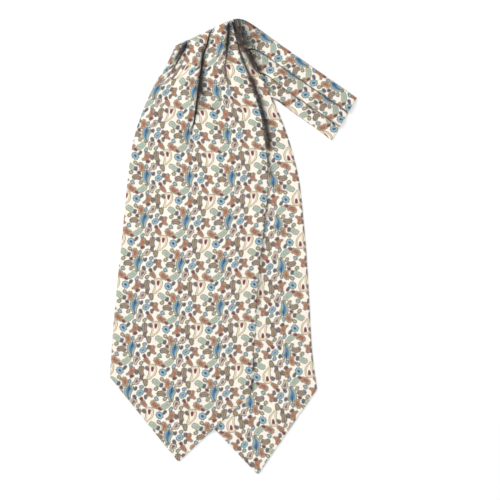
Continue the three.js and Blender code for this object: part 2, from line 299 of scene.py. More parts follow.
@dataclass
class PrintBlock:
    """The printer's block: the whole repeat as one node group, built once."""

    motifs: tuple[Motif, ...] = PRINT
    repeat: float = REPEAT

    def shape_group(self) -> bpy.types.NodeTree:
        """The group that measures how deep a place lies in one drop-shaped motif.

        Returns:
            The node group.
        """
        net, given, out = new_group(
            "motif_shape",
            {
                "Place": "Vector",
                "Low": "Vector",
                "High": "Vector",
                "Head": "Vector",
                "Along": "Vector",
                "Side": "Vector",
                "Length": "Float",
                "Head Radius": "Float",
                "Taper": "Float",
                "Bow": "Float",
                "Lobes": "Float",
                "Lobe Run": "Float",
                "Lobe Depth": "Float",
            },
            {"Depth": "Float", "Run": "Float", "Off": "Float"},
        )
        wrapped = net.vector("WRAP", given["Place"], given["High"], given["Low"])
        local = net.vector("SUBTRACT", wrapped, given["Head"])
        along = net.vector("DOT_PRODUCT", local, given["Along"])
        side = net.vector("DOT_PRODUCT", local, given["Side"])
        run = net.math("DIVIDE", along, given["Length"], clamp=True)
        arch = net.math("SUBTRACT", run, net.math("MULTIPLY", run, run))
        off = net.math("MULTIPLY_ADD", arch, given["Bow"], side)
        rest = net.math("SUBTRACT", along, net.math("MULTIPLY", run, given["Length"]))
        far = net.math("SQRT", net.math("MULTIPLY_ADD", off, off, net.math("MULTIPLY", rest, rest)))
        radius = net.math("MULTIPLY_ADD", run, given["Taper"], given["Head Radius"])
        angle = net.math("ARCTAN2", net.math("ABSOLUTE", off), rest)
        turn = net.math("MULTIPLY_ADD", run, given["Lobe Run"], net.math("MULTIPLY", angle, given["Lobes"]))
        scallop = net.math("MULTIPLY_ADD", net.math("COSINE", turn), given["Lobe Depth"], radius)
        depth = net.math("DIVIDE", net.math("SUBTRACT", scallop, far), RAMP_SPAN)
        for name, socket in (("Depth", depth), ("Run", run), ("Off", off)):
            net.feed(out[name], socket)
        return net.tree

    def bead_group(self) -> bpy.types.NodeTree:
        """The group that marks a row of beads down a motif's middle."""
        net, given, out = new_group(
            "motif_beads",
            {"Depth": "Float", "Run": "Float", "Off": "Float", "Count": "Float", "Reach": "Float"},
            {"Mask": "Float"},
        )
        wave = net.math("COSINE", net.math("MULTIPLY", given["Run"], given["Count"]))
        off = net.math("DIVIDE", given["Off"], given["Reach"])
        fall = net.math("MULTIPLY_ADD", off, net.math("MULTIPLY", off, -1.0), wave)
        inside = net.math("GREATER_THAN", given["Depth"], 0.05)
        net.feed(out["Mask"], net.math("MULTIPLY", net.math("GREATER_THAN", fall, 0.1), inside))
        return net.tree

    def build(self) -> bpy.types.NodeTree:
        """The whole repeat, motif over motif.

        Returns:
            A node group from a place in the flat cloth, in metres, to the print's colour.
        """
        shape, beads = self.shape_group(), self.bead_group()
        net, given, out = new_group("paisley_repeat", {"Cloth Place": "Vector"}, {"Color": "Color"})
        place = net.add("ShaderNodeVectorMath", operation="SCALE")
        net.feed(place.inputs[0], given["Cloth Place"])
        place.inputs["Scale"].default_value = 1 / MM
        colour: object = Dye.GROUND.linear
        for motif in self.motifs:
            head, tail = (complex(x, y) for x, y in (motif.head, motif.tail))
            run = tail - head
            along = run / abs(run)
            side = along * 1j
            node = net.add("ShaderNodeGroup", node_tree=shape, label=motif.name)
            net.feed(node.inputs["Place"], place.outputs[0])
            half = self.repeat / 2
            for name, value in {
                "Low": (head.real - half, head.imag - half, -1.0),
                "High": (head.real + half, head.imag + half, 1.0),
                "Head": (head.real, head.imag, 0.0),
                "Along": (along.real, along.imag, 0.0),
                "Side": (side.real, side.imag, 0.0),
                "Length": abs(run),
                "Head Radius": motif.head_r + SPREAD,
                "Taper": motif.tail_r - motif.head_r,
                "Bow": 4.0 * motif.bow,
                "Lobes": motif.lobes[0],
                "Lobe Run": -2 * motif.lobes[0] * abs(run) / (motif.head_r + motif.tail_r),
                "Lobe Depth": motif.lobes[1],
            }.items():
                node.inputs[name].default_value = value
            clear = (*motif.rings[0][1].linear[:3], 0.0)
            stops = [(0.0, clear)]
            stops += [(max(depth, 0.02) / RAMP_SPAN, dye.linear) for depth, dye in motif.rings]
            rings = net.ramp(node.outputs["Depth"], stops, sharp=True)
            colour = net.mix(rings.outputs["Alpha"], colour, rings.outputs["Color"])
            if motif.beads:
                bead = net.add("ShaderNodeGroup", node_tree=beads)
                for name in ("Depth", "Run", "Off"):
                    net.feed(bead.inputs[name], node.outputs[name])
                bead.inputs["Count"].default_value = motif.beads.count * math.tau
                bead.inputs["Reach"].default_value = motif.beads.reach
                colour = net.mix(bead.outputs["Mask"], colour, motif.beads.dye.linear)
        net.feed(out["Color"], colour)
        return net.tree


def weave_group() -> bpy.types.NodeTree:
    """The twill's fine diagonal ribs and its slight unevenness.

    Returns:
        A node group from a place in the flat cloth to a height and a tone.
    """
    net, given, out = new_group(
        "silk_weave",
        {"Cloth Place": "Vector", "Rib": "Float", "Unevenness": "Float"},
        {"Height": "Float", "Tone": "Float"},
    )
    place = net.add("ShaderNodeSeparateXYZ")
    net.feed(place.inputs[0], given["Cloth Place"])
    diagonal = net.math("ADD", place.outputs[0], place.outputs[1])
    ribs = net.math("SINE", net.math("MULTIPLY", net.math("DIVIDE", diagonal, given["Rib"]), math.tau))
    slub = net.add("ShaderNodeTexNoise", noise_dimensions="2D")
    slub.inputs["Scale"].default_value = 900.0
    slub.inputs["Detail"].default_value = 2.0
    net.feed(slub.inputs["Vector"], given["Cloth Place"])
    cloud = net.add("ShaderNodeTexNoise", noise_dimensions="2D")
    cloud.inputs["Scale"].default_value = 45.0
    cloud.inputs["Detail"].default_value = 3.0
    net.feed(cloud.inputs["Vector"], given["Cloth Place"])
    net.feed(out["Height"], net.math("MULTIPLY_ADD", ribs, 0.35, slub.outputs["Fac"]))
    swing = net.math("MULTIPLY", net.math("SUBTRACT", cloud.outputs["Fac"], 0.5), given["Unevenness"])
    net.feed(out["Tone"], net.math("ADD", swing, 1.0))
    return net.tree


@dataclass(frozen=True)
class SilkFinish:
    """Printed silk twill: the print over a faint weave, with shade painted into its colour where the cloth dives
    into a crease.
    """

    name: str
    slot: str
    roughness: float = 0.46
    sheen: float = 0.05
    rib: float = 0.0006
    unevenness: float = 0.12
    # how near to black the painted shade takes the colour at full strength
    crease_painted_shade: float = 0.97

    def build(self, block: bpy.types.NodeTree, weave: bpy.types.NodeTree) -> bpy.types.Material:
        """Make the material.

        Args:
            block: the print's node group.
            weave: the weave's node group.

        Returns:
            The material.
        """
        material = bpy.data.materials.new(self.name)
        material.use_nodes = True
        net = Net(material.node_tree)
        shader = net.tree.nodes["Principled BSDF"]
        cloth = net.add("ShaderNodeUVMap", uv_map=CLOTH_MAP).outputs[0]
        printed = net.add("ShaderNodeGroup", node_tree=block)
        net.feed(printed.inputs["Cloth Place"], cloth)
        twill = net.add("ShaderNodeGroup", node_tree=weave)
        net.feed(twill.inputs["Cloth Place"], cloth)
        twill.inputs["Rib"].default_value = self.rib
        twill.inputs["Unevenness"].default_value = self.unevenness
        toned = net.mix(1.0, printed.outputs["Color"], twill.outputs["Tone"], "MULTIPLY")
        # painted shade: the attribute mixes the print towards a near-black brown in pleats, creases and cast
        # shadows
        crease = net.add("ShaderNodeAttribute", attribute_name=PAINTED_SHADE_ATTRIBUTE).outputs["Fac"]
        depth = net.math("MULTIPLY", crease, self.crease_painted_shade)
        shaded = net.mix(depth, toned, (0.014, 0.009, 0.007, 1.0))
        net.feed(shader.inputs["Base Color"], shaded)
        shader.inputs["Roughness"].default_value = self.roughness
        shader.inputs["Sheen Weight"].default_value = self.sheen
        shader.inputs["Sheen Roughness"].default_value = 0.4
        shader.inputs["Specular IOR Level"].default_value = 0.2
        bump = net.add("ShaderNodeBump")
        bump.inputs["Strength"].default_value = 0.12
        bump.inputs["Distance"].default_value = 0.0001
        net.feed(bump.inputs["Height"], twill.outputs["Height"])
        net.feed(shader.inputs["Normal"], bump.outputs[0])
        return material


@dataclass(frozen=True)
class ThreadFinish:
    """Cream sewing silk, twisted."""

    name: str = "sewing_silk"

    def build(self) -> bpy.types.Material:
        """Make the material."""
        material = bpy.data.materials.new(self.name)
        material.use_nodes = True
        net = Net(material.node_tree)
        shader = net.tree.nodes["Principled BSDF"]
        place = net.add("ShaderNodeTexCoord").outputs["Object"]
        twist = net.add("ShaderNodeTexWave", bands_direction="DIAGONAL")
        twist.inputs["Scale"].default_value = 1800.0
        net.feed(twist.inputs["Vector"], place)
        tone = net.ramp(twist.outputs["Fac"], [(0.0, Dye.TAN.linear), (0.6, Dye.CREAM.linear)], sharp=False)
        net.feed(shader.inputs["Base Color"], tone.outputs["Color"])
        shader.inputs["Roughness"].default_value = 0.5
        return material


# ---- Cloth ---------------------------------------------------------------------------------------------


def ease(x: np.ndarray) -> np.ndarray:
    """A smooth step from 0 to 1."""
    x = np.clip(x, 0.0, 1.0)
    return x * x * (3.0 - 2.0 * x)


def through(values: np.ndarray, at: np.ndarray) -> np.ndarray:
    """A smooth curve through rows of values.

    Args:
        values: the values at places 0, 1, 2 and so on.
        at: the places wanted.

    Returns:
        The values there, a row for each place.
    """
    last = len(values) - 1
    i = np.clip(at.astype(int), 0, last - 1)
    f = (at - i)[:, None]
    a, b, c, d = (values[np.clip(i + k, 0, last)] for k in (-1, 0, 1, 2))
    return 0.5 * (2 * b + (c - a) * f + (2 * a - 5 * b + 4 * c - d) * f**2 + (3 * b - a - 3 * c + d) * f**3)


def line_distance(xy: np.ndarray, line: np.ndarray) -> tuple[np.ndarray, np.ndarray]:
    """How far points are from an open line, and how far along it, from 0 to 1, their nearest place is."""
    best = np.full(xy.shape[:-1], np.inf)
    place = np.zeros(xy.shape[:-1])
    steps = np.linalg.norm(np.diff(line, axis=0), axis=1)
    starts = np.concatenate([[0.0], np.cumsum(steps)])
    for a, b, start, step in zip(line[:-1], line[1:], starts, steps):
        t = np.clip(((xy - a) @ (b - a)) / max(step * step, 1e-9), 0.0, 1.0)
        far = np.linalg.norm(xy - (a + t[..., None] * (b - a)), axis=-1)
        nearer = far < best
        best = np.where(nearer, far, best)
        place = np.where(nearer, (start + t * step) / starts[-1], place)
    return best, place


def inside_by(xy: np.ndarray, outline: np.ndarray) -> np.ndarray:
    """How far points are inside an outline, negative outside it."""
    closed = np.vstack([outline, outline[:1]])
    far, _ = line_distance(xy, closed)
    inside = np.zeros(xy.shape[:-1], bool)
    for a, b in zip(closed[:-1], closed[1:]):
        if a[1] == b[1]:
            continue
        crossing = (a[1] > xy[..., 1]) != (b[1] > xy[..., 1])
        x = (b[0] - a[0]) * (xy[..., 1] - a[1]) / (b[1] - a[1]) + a[0]
        inside ^= crossing & (xy[..., 0] < x)
    return np.where(inside, far, -far)


@dataclass(frozen=True)
class Section:
    """One line across a piece: its two ends, and its pleats from left to right.

    share is where each pleat's folded edge stands along the line, tuck the cloth it hides, lip how high the
    edge stands beyond what its layers need, mouth how wide it gapes, and cut how much was cut off the right
    of the full width there.
    """

    left: Point
    right: Point
    share: tuple[float, ...] = ()
    tuck: tuple[float, ...] = ()
    lip: tuple[float, ...] = ()
    mouth: tuple[float, ...] = ()
    cut: float = 0.0


@dataclass(frozen=True)
class Crease:
    """A soft trough or ridge laid along a line, with shade painted along it: how wide, how deep and how dark its
    painted shade is.
    """

    line: tuple[Point, ...]
    width: float
    depth: float = 0.0
    dark: float = 0.0
    fade: bool = True


GRIP = 3.0  # cloth on each side of a pleat's edge that belongs to its roll
TURN = CLOTH + 0.25  # outer radius of a pleat's folded edge
FULL_TUCK = 9.0  # a pleat that hides less than this is only half formed
PLEAT_POINTS = 19


def pleat_path(tuck: float, lip: float, mouth: float, room: float) -> tuple[np.ndarray, np.ndarray, np.ndarray]:
    """The cloth's path over, under and out of one knife pleat, from left to right.

    Args:
        tuck: the cloth that it hides.
        lip: how much higher its edge stands than its layers need.
        mouth: how wide it gapes.
        room: how far back below the panel the fold may reach.

    Returns:
        The path's points from the folded edge across and up, the shade painted on each one, and how far the cloth
        has run at each one.
    """
    formed = float(ease(np.array(tuck / FULL_TUCK)))
    high = 2 * TURN + 2 * AIR + lip
    half = min(tuck / 2, room)
    low = high - 2 * TURN - 2 * AIR - min(lip, 0.9) * 1.0
    path = [(-GRIP, high), (-TURN - 0.9, high)]
    for angle in (90, 62, 34, 6, -28, -58, -90):
        turn = math.radians(angle)
        path.append((-TURN + TURN * math.cos(turn), high - TURN + TURN * math.sin(turn)))
    under = high - 2 * TURN
    path += [(-TURN - 0.4 * half, under), (-TURN - half, under)]
    path += [(-TURN - half - 0.45, (under + low) / 2), (-TURN - half, low), (-TURN - 0.4 * half, low)]
    path += [(-TURN * 0.6, low), (0.35 * mouth, low), (0.75 * mouth, 0.45 * low)]
    path += [(mouth, 0.0), (mouth + GRIP, 0.0)]
    folded = np.array(path)
    flat = np.stack([np.linspace(-GRIP, GRIP, PLEAT_POINTS), np.zeros(PLEAT_POINTS)], axis=1)
    points = flat + formed * (folded - flat)
    # shade painted into the fold, deepest inside the pleat's turn and in its mouth
    dark = np.array([0, 0, 0, 0.12, 0.4, 0.8, 1, 1, 1, 1, 1, 1, 1, 1, 1, 1, 0.8, 0.22, 0]) * formed
    run = np.concatenate([[0.0], np.cumsum(np.linalg.norm(np.diff(folded, axis=0), axis=1))])
    share = formed * run / run[-1] + (1 - formed) * np.linspace(0, 1, PLEAT_POINTS)
    return points, dark, share


@dataclass
class Cloth:
    """A sheet as a grid of rows: its points, their places in the flat cloth, and how much shade is painted on each
    one.
    """

    points: np.ndarray
    flat: np.ndarray
    dark: np.ndarray
    carried: np.ndarray | None = None

    @classmethod
    def across(cls, rows: list[Section], cells: tuple[int, ...]) -> "Cloth":
        """Lay cloth over sections, pleat by pleat.

        Args:
            rows: the sections, row by row.
            cells: how many cells each panel between two pleats has.

        Returns:
            The sheet, at height 0 apart from its pleats. Its flat places run from 0 at the right edge.
        """
        points, flat, dark = [], [], []
        for row in rows:
            left, right = np.array(row.left), np.array(row.right)
            width = float(np.linalg.norm(right - left))
            way = (right - left) / width
            xs: list[np.ndarray] = []
            zs: list[np.ndarray] = []
            us: list[np.ndarray] = []
            shades: list[np.ndarray] = []
            start, u, low = 0.0, 0.0, 0.0
            for panel, count in enumerate(cells):
                last = panel == len(cells) - 1
                if last:
                    stop, high = width, low
                else:
                    wide = row.share[panel] * width - start
                    sizes = row.tuck[panel], row.lip[panel], row.mouth[panel]
                    path, shade, share = pleat_path(*sizes, max(wide - 8.0, 1.0))
                    path = path * [min(1.0, width / 48.0), 1.0]
                    stop = row.share[panel] * width + path[0, 0]
                    high = path[0, 1]
                t = np.linspace(0, 1, count + 1)[(0 if panel == 0 else 1) :]
                t = 0.5 * t + 0.25 * (1 - np.cos(math.pi * t))
                x = start + (stop - start) * t
                back = 0.0 if last else row.tuck[panel] / 2 + TURN + 7.0
                begin = max(start, stop - back)
                climb = ease((x - begin) / max(min(7.0, stop - begin), 1e-6))
                xs.append(x)
                zs.append(low + (high - low) * climb * (0.8 + 0.2 * t**2))
                us.append(u + (stop - start) * t)
                shades.append(np.zeros(len(t)))
                u += stop - start
                if last:
                    break
                edge = row.share[panel] * width
                length = row.tuck[panel] + (path[-1, 0] - path[0, 0])
                xs.append(edge + path[1:, 0])
                zs.append(path[1:, 1])
                us.append(u + length * share[1:])
                shades.append(shade[1:])
                u += length
                start, low = edge + path[-1, 0], 0.0
            x, z = np.concatenate(xs), np.concatenate(zs)
            across = left + x[:, None] * way
            points.append(np.concatenate([across, z[:, None]], axis=1))
            flat.append(np.concatenate(us) - u - row.cut)
            dark.append(np.concatenate(shades))
        grid = np.array(points)
        places = np.stack([np.array(flat), grid[..., 1]], axis=-1)
        return cls(grid, places, np.array(dark))

    def lift(self, height: np.ndarray) -> None:
        """Raise every point by its own height."""
        self.points[..., 2] += height

    def rest_on(self, carried: np.ndarray, outline: np.ndarray, loft: float) -> None:
        """Lay the sheet on what carries it, a little fuller inside than along its edges.

        Args:
            carried: the height of what carries each point, cloth included.
            outline: the piece's outline.
            loft: how full it is inside.
        """
        inside = inside_by(self.points[..., :2], outline)
        self.carried = carried
        self.points[..., 2] += carried + EDGE_ROLL + loft * ease(inside / 14.0)

    def settle(self) -> None:
        """Keep every crease above what carries the sheet."""
        if self.carried is not None:
            self.points[..., 2] = np.maximum(self.points[..., 2], self.carried)

    def crease(self, creases: tuple[Crease, ...]) -> None:
        """Press the listed creases into the sheet and paint shade into their depths."""
        for one in creases:
            far, place = line_distance(self.points[..., :2], np.array(one.line))
            body = np.exp(-((far / one.width) ** 2))
            ends = ease(np.minimum(place, 1 - place) * 4.0) if one.fade else 1.0
            self.points[..., 2] -= one.depth * body * ends
            # paint shade along the crease line
            self.dark = np.maximum(self.dark, one.dark * body * ends)

    def round_edges(self, reach: float, drop: float) -> None:
        """Let the two long edges roll down to the surface."""
        for edge in (0, -1):
            far = np.linalg.norm(self.points[..., :2] - self.points[:, [edge], :2], axis=-1)
            t = np.clip(1 - far / reach, 0, 1)
            self.points[..., 2] -= drop * (1 - np.sqrt(1 - t * t))

    def turn_under(self, outward: np.ndarray, reach: float, floor: float, lip: float, first: bool) -> None:
        """Carry the sheet on over a fold, half a turn round and a lip further on below.

        Args:
            outward: the way across the fold, away from the sheet.
            reach: how far the fold's outermost layer reaches.
            floor: the height that its lowest layer comes down to.
            lip: how far the cloth runs on below.
            first: fold at the first row, or else at the last.
        """
        row = 0 if first else -1
        edge, flat, dark = self.points[row], self.flat[row], self.dark[row]
        outer = 1 - ease((dark - 0.5) / 0.4)
        below = floor + (1 - outer) * (CLOTH + AIR)
        size = 0.45 + 0.55 * outer
        steps = 9
        new_points, new_flat = [], []
        sign = 1.0 if first else -1.0
        for k in range(1, steps + 1):
            angle = math.pi * k / steps
            moved = edge.copy()
            moved[:, :2] += outward * (reach * size * math.sin(angle))[:, None]
            moved[:, 2] = (edge[:, 2] + below) / 2 + (edge[:, 2] - below) / 2 * math.cos(angle)
            new_points.append(moved)
            new_flat.append(flat + [0.0, sign * reach * 2 * k / steps])
        under = new_points[-1].copy()
        under[:, :2] -= outward * (0.4 + (lip - 0.4) * outer)[:, None]
        new_points.append(under)
        new_flat.append(new_flat[-1] + [0.0, sign * lip])
        extra = np.array(new_points)
        more = np.array(new_flat)
        shade = np.repeat(dark[None], len(extra), axis=0)
        if first:
            self.points = np.concatenate([extra[::-1], self.points])
            self.flat = np.concatenate([more[::-1], self.flat])
            self.dark = np.concatenate([shade[::-1], self.dark])
        else:
            self.points = np.concatenate([self.points, extra])
            self.flat = np.concatenate([self.flat, more])
            self.dark = np.concatenate([self.dark, shade])

    def make(self, name: str, material: bpy.types.Material, mirrored: bool = False) -> bpy.types.Object:
        """Turn the sheet into a closed thin shell.

        Args:
            name: the piece's name.
            material: its finish.
            mirrored: its rows and columns run the other way round, so its faces are turned.

        Returns:
            The piece, at the origin.
        """
        rows, columns = self.points.shape[:2]
        index = np.arange(rows * columns).reshape(rows, columns)
        a, b, c, d = index[:-1, :-1], index[1:, :-1], index[1:, 1:], index[:-1, 1:]
        order = (a, d, c, b) if mirrored else (a, b, c, d)
        faces = np.stack(order, axis=-1).reshape(-1, 4)
        mesh = bpy.data.meshes.new(name)
        mesh.from_pydata((self.points.reshape(-1, 3) * MM).tolist(), [], faces.tolist())
        uv = mesh.uv_layers.new(name=CLOTH_MAP)
        corner = np.zeros(len(mesh.loops), np.int32)
        mesh.loops.foreach_get("vertex_index", corner)
        uv.data.foreach_set("uv", (self.flat.reshape(-1, 2)[corner] * MM).ravel())
        # the painted shade, stored for the silk finish to darken the colour by
        shade = mesh.attributes.new(PAINTED_SHADE_ATTRIBUTE, "FLOAT", "POINT")
        shade.data.foreach_set("value", np.clip(self.dark, 0, 1).ravel())
        mesh.materials.append(material)
        mesh.polygons.foreach_set("use_smooth", np.ones(len(mesh.polygons), bool))
        piece = bpy.data.objects.new(name, mesh)
        bpy.context.scene.collection.objects.link(piece)
        wall = piece.modifiers.new("wall", "SOLIDIFY")
        wall.thickness = CLOTH * MM
        wall.offset = -1.0
        heights = self.points[..., 2]
        LOG.info("%s: %d points, %.2f to %.2f mm high", name, heights.size, heights.min(), heights.max())
        LOG.info("%s: flat %s", name, self.flat_size())
        return piece

    def flat_size(self) -> tuple[float, float, float]:
        """The cut's width, length and area, in metres."""
        x, y = self.flat[..., 0], self.flat[..., 1]
        first = np.stack([x[1:, 1:] - x[:-1, :-1], y[1:, 1:] - y[:-1, :-1]])
        second = np.stack([x[:-1, 1:] - x[1:, :-1], y[:-1, 1:] - y[1:, :-1]])
        area = np.abs(first[0] * second[1] - first[1] * second[0]).sum() / 2
        return float(np.ptp(x)) * MM, float(np.ptp(y)) * MM, float(area) * MM * MM


def rows_through(sections: tuple[Section, ...], step: float = ROW_STEP) -> list[Section]:
    """Fill in rows between sections along smooth edges, about a step apart."""
    width = len(sections[0].share)
    table = np.array(
        [[*s.left, *s.right, *s.share, *s.tuck, *s.lip, *s.mouth] for s in sections], float
    )
    at = [0.0]
    for i, (a, b) in enumerate(zip(table[:-1], table[1:])):
        long = max(np.hypot(*(b - a)[:2]), np.hypot(*(b - a)[2:4]))
        count = max(1, math.ceil(long / step))
        at += [i + k / count for k in range(1, count + 1)]
    places = np.array(at)
    smooth = through(table[:, :4], places)
    whole = np.arange(len(table))
    rest = np.zeros((len(places), 4 * width))
    for column in range(4 * width):
        rest[:, column] = np.interp(places, whole, table[:, 4 + column])
    rows = []
    for ends, more in zip(smooth, rest):
        parts = [tuple(more[k * width : (k + 1) * width]) for k in range(4)]
        rows.append(Section(tuple(ends[:2]), tuple(ends[2:]), *parts))
    return rows


def rows_to_tip(before: Section, last: Section, tip: Point, blunt: float = 2.4) -> list[Section]:
    """Carry rows on from a blade's shoulders to its point, cut from cloth that runs on straight."""
    left, right, end = np.array(last.left), np.array(last.right), np.array(tip)
    half = (right - left) / np.linalg.norm(right - left) * blunt / 2
    grain = (right - np.array(before.right)) / (right[1] - before.right[1])
    count = math.ceil(np.linalg.norm((left + right) / 2 - end) / ROW_STEP)
    rows = []
    for k in range(1, count + 1):
        t = k / count
        ends = (left + (end - half - left) * t, right + (end + half - right) * t)
        cut = float(right[0] + grain[0] * (ends[1][1] - right[1]) - ends[1][0])
        rows.append(Section(tuple(ends[0]), tuple(ends[1]), last.share, last.tuck, last.lip, last.mouth, cut))
    return rows


def outline_of(rows: list[Section]) -> np.ndarray:
    """The outline round a list of rows."""
    return np.array([r.left for r in rows] + [r.right for r in rows][::-1])


def away_from(row: Section, inner: Section) -> np.ndarray:
    """The unit way across a row's line, away from an inner row."""
    line = np.array(row.right) - np.array(row.left)
    normal = np.array([-line[1], line[0]]) / np.hypot(*line)
    towards = np.array(inner.left) - np.array(row.left)
    return -normal if normal @ towards > 0 else normal


# ---- The cravat's pieces -------------------------------------------------------------------------------


@dataclass
class Blade:
    """What the two blades share: a piece of cloth from the neck to a point."""

    node: str
    sections: tuple[Section, ...]
    tip: Point
    cells: tuple[int, ...]
    print_place: Point
    rows: list[Section] = field(init=False)

    def __post_init__(self) -> None:
        """Work the rows out."""
        body = rows_through(self.sections)
        self.rows = body + rows_to_tip(body[-6], body[-1], self.tip)


PLAIN = {"share": (0.25, 0.5, 0.75), "tuck": (0.0, 0.0, 0.0), "lip": (0.0, 0.0, 0.0), "mouth": (0.0, 0.0, 0.0)}


@dataclass
class FrontBlade(Blade):
    """The blade on top, with its three pleats and its turned top edge."""

    node: str = "front_blade"
    sections: tuple[Section, ...] = (
        Section((-60.8, 208.6), (-1.2, 236.0), (0.25, 0.62, 0.93), (19, 32, 24), (0.4, 0.6, 0.9), (0.4, 0.6, 1.4)),
        Section((-66.6, 195.0), (1.6, 223.5), (0.19, 0.585, 0.9), (15, 34, 24), (0.8, 0.8, 1.2), (2.2, 1.4, 3.0)),
        Section((-75.5, 180.0), (4.4, 211.6), (0.165, 0.55, 0.87), (4, 34, 20), (0.4, 1.1, 1.2), (0.8, 2.2, 3.0)),
        Section((-84.5, 164.0), (9.2, 192.0), (0.16, 0.54, 0.82), (0, 29, 7), (0, 1.4, 0.0), (0, 3.2, 0.0)),
        Section((-93.5, 143.0), (17.6, 170.5), (0.18, 0.505, 0.8), (0, 20, 2.5), (0, 1.9, 0), (0, 5.4, 0)),
        Section((-102.0, 118.5), (26.5, 146.0), (0.2, 0.48, 0.79), (0, 7, 1), (0, 0.8, 0), (0, 1.4, 0)),
        Section((-107.5, 92.0), (32.5, 117.0), (0.22, 0.44, 0.78), (0, 1.5, 0), (0, 0, 0), (0, 0, 0)),
        Section((-112.0, 52.0), (37.0, 68.0), **PLAIN),
        Section((-116.4, 6.0), (32.0, 14.0), **PLAIN),
        Section((-121.0, -38.0), (26.4, -37.0), **PLAIN),
        Section((-125.5, -88.0), (23.5, -90.0), **PLAIN),
        Section((-128.9, -138.6), (18.5, -157.0), **PLAIN),
    )
    tip: Point = (-57.2, -226.2)
    cells: tuple[int, ...] = (20, 26, 22, 18)
    print_place: Point = (-60.0, 0.0)
    # where dark is set, shade is painted along the line: near-black down the pleats' grooves and along the edge at
    # the peak, lighter in the soft troughs
    creases: tuple[Crease, ...] = (
        Crease(((-47.5, 214.0), (-54.6, 202.0), (-62.8, 190.0)), 2.8, 0.0, 1.0),
        Crease(((-29.6, 214.0), (-31.4, 200.0), (-32.6, 180.0), (-33.0, 158.0)), 3.0, 0.0, 1.0),
        Crease(((-32.8, 182.0), (-33.4, 168.0), (-32.6, 152.0)), 4.6, 0.6, 1.0),
        Crease(((-33.0, 158.0), (-34.0, 148.0), (-36.0, 138.0)), 4.0, 0.0, 0.55),
        Crease(((-3.4, 236.5), (-4.6, 220.0), (-6.4, 204.0), (-8.0, 194.0)), 3.4, 0.0, 1.0),
        Crease(((-1.2, 237.0), (0.6, 229.0), (3.2, 219.0)), 1.5, 0.0, 1.0, False),
        Crease(((-35.6, 150.0), (-44.0, 128.0), (-55.5, 102.0)), 4.5, 1.3, 0.22),
        Crease(((-24.0, 152.0), (-16.0, 140.0), (-10.0, 134.0)), 3.5, 0.9, 0.16),
        Crease(((-9.0, 186.0), (-9.3, 171.0), (-8.0, 158.0)), 3.0, 0.6, 0.12),
        Crease(((-66.0, 190.0), (-74.0, 168.0), (-80.0, 140.0)), 5.0, 0.7, 0.08),
        Crease(((4.0, 190.0), (12.0, 160.0), (18.0, 120.0)), 5.0, 0.6, 0.0),
        Crease(((-88.0, 110.0), (-95.0, 40.0), (-98.0, -30.0)), 14.0, 0.7, 0.0),
        Crease(((-20.0, 110.0), (-12.0, 30.0), (-18.0, -60.0)), 16.0, -0.7, 0.0),
        Crease(((-60.0, 20.0), (-66.0, -60.0), (-62.0, -130.0)), 15.0, 0.6, 0.0),
        Crease(((-100.0, -70.0), (-90.0, -120.0), (-70.0, -160.0)), 13.0, -0.5, 0.0),
    )
    top_reach: float = 2.6
    top_lip: float = 8.0
    pitch: float = 45.0
    kink: float = -59.7
    loose_edge: Point = (29.0, 128.0)
    loose_lift: float = 2.6

    def lay(self, layers: "Layers", silk: bpy.types.Material) -> bpy.types.Object:
        """Lay the blade on all the rest and turn its top edge over backwards.

        Args:
            layers: what it lies on.
            silk: its finish.

        Returns:
            The piece.
        """
        outward = away_from(self.rows[0], self.rows[1])
        rows = [moved_row(self.rows[0], -outward * self.top_reach), *self.rows[3:]]
        cloth = Cloth.across(rows, self.cells)
        u, y = cloth.flat[..., 0], cloth.points[..., 1]
        wide = np.where(u < self.kink, (self.kink - u) * 2.0, (u - self.kink) * 3.0) / self.pitch
        scale = REPEAT / self.pitch
        cloth.flat = np.stack([(u - self.print_place[0]) * scale, y - wide - self.print_place[1]], axis=-1)
        carried = layers.height(cloth.points[..., :2], ("under", "rear", "band"), 9.0)
        cloth.rest_on(carried, outline_of(self.rows), 0.8)
        side = cloth.points[..., :2] - np.array(self.loose_edge)[None, None]
        near = np.exp(-((side[..., 1] / 26.0) ** 2)) * np.exp(-((cloth_to_right(cloth) / 7.0) ** 2))
        cloth.lift(self.loose_lift * near)
        cloth.crease(self.creases)
        cloth.round_edges(2.2, EDGE_ROLL)
        cloth.settle()
        cloth.turn_under(outward, self.top_reach, LIFT, self.top_lip, first=True)
        return cloth.make(self.node + "_silk", silk)


